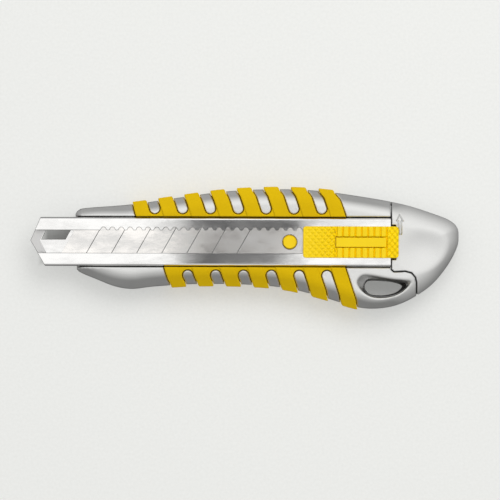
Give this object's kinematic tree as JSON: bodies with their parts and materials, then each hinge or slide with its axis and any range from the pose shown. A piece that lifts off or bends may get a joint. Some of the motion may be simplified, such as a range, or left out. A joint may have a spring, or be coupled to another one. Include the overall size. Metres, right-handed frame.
{
  "type": "utility knife",
  "caption": "Snap-off utility knife: segmented blade in a steel channel, metal handle with rubber finger grips, ratchet thumb slider and a sideways-sliding rear cap.",
  "frame": {"origin": "centre of the footprint on the surface that the knife lies on, back grips down", "axes": "blade tip towards -X, rear cap towards +X, blade's spine towards +Y and its cutting edge towards -Y, thumb slider on top (+Z)"},
  "size_m": [0.171, 0.0493, 0.0204],
  "materials": {
    "die_cast": "satin, bead-blasted casting",
    "channel_steel": "bright rolled",
    "blade_steel": "ground",
    "grip_rubber": "matt moulded",
    "slider_plastic": "semi-gloss moulded",
    "black_nylon": "moulded",
    "spring_steel": "hardened strip",
    "fastener_steel": "plated"
  },
  "bodies": {
    "handle": {"front_shell": "die_cast", "back_shell": "die_cast", "blade_channel": "channel_steel", "channel_rivets": "fastener_steel", "front_spine_grip": "grip_rubber", "front_belly_grip": "grip_rubber", "back_spine_grip": "grip_rubber", "back_belly_grip": "grip_rubber", "shell_screws": "fastener_steel", "magazine_tray": "black_nylon", "spare_blades": "blade_steel", "magazine_spring": "spring_steel"},
    "carriage": {"blade_carrier": "slider_plastic", "lock_spring": "spring_steel", "snap_off_blade": "blade_steel"},
    "pad": {"thumb_pad": "slider_plastic"},
    "cap": {"rear_cap": "die_cast", "cap_guide": "black_nylon", "cap_screw": "fastener_steel", "cap_catch_spring": "spring_steel"}
  },
  "joints": [
    {"name": "blade_slide", "type": "slide", "parent": "handle", "child": "carriage", "axis": [-1, 0, 0], "range_m": [0, 0.08165], "deforming": ["lock_spring"]},
    {"name": "pad_shift", "type": "slide", "parent": "carriage", "child": "pad", "axis": [-1, 0, 0], "range_m": [-0.001, 0.001], "stiffness_N_per_m": 500},
    {"name": "cap_slide", "type": "slide", "parent": "handle", "child": "cap", "axis": [0, 1, 0], "range_m": [0, 0.024], "deforming": ["cap_catch_spring"]}
  ]
}
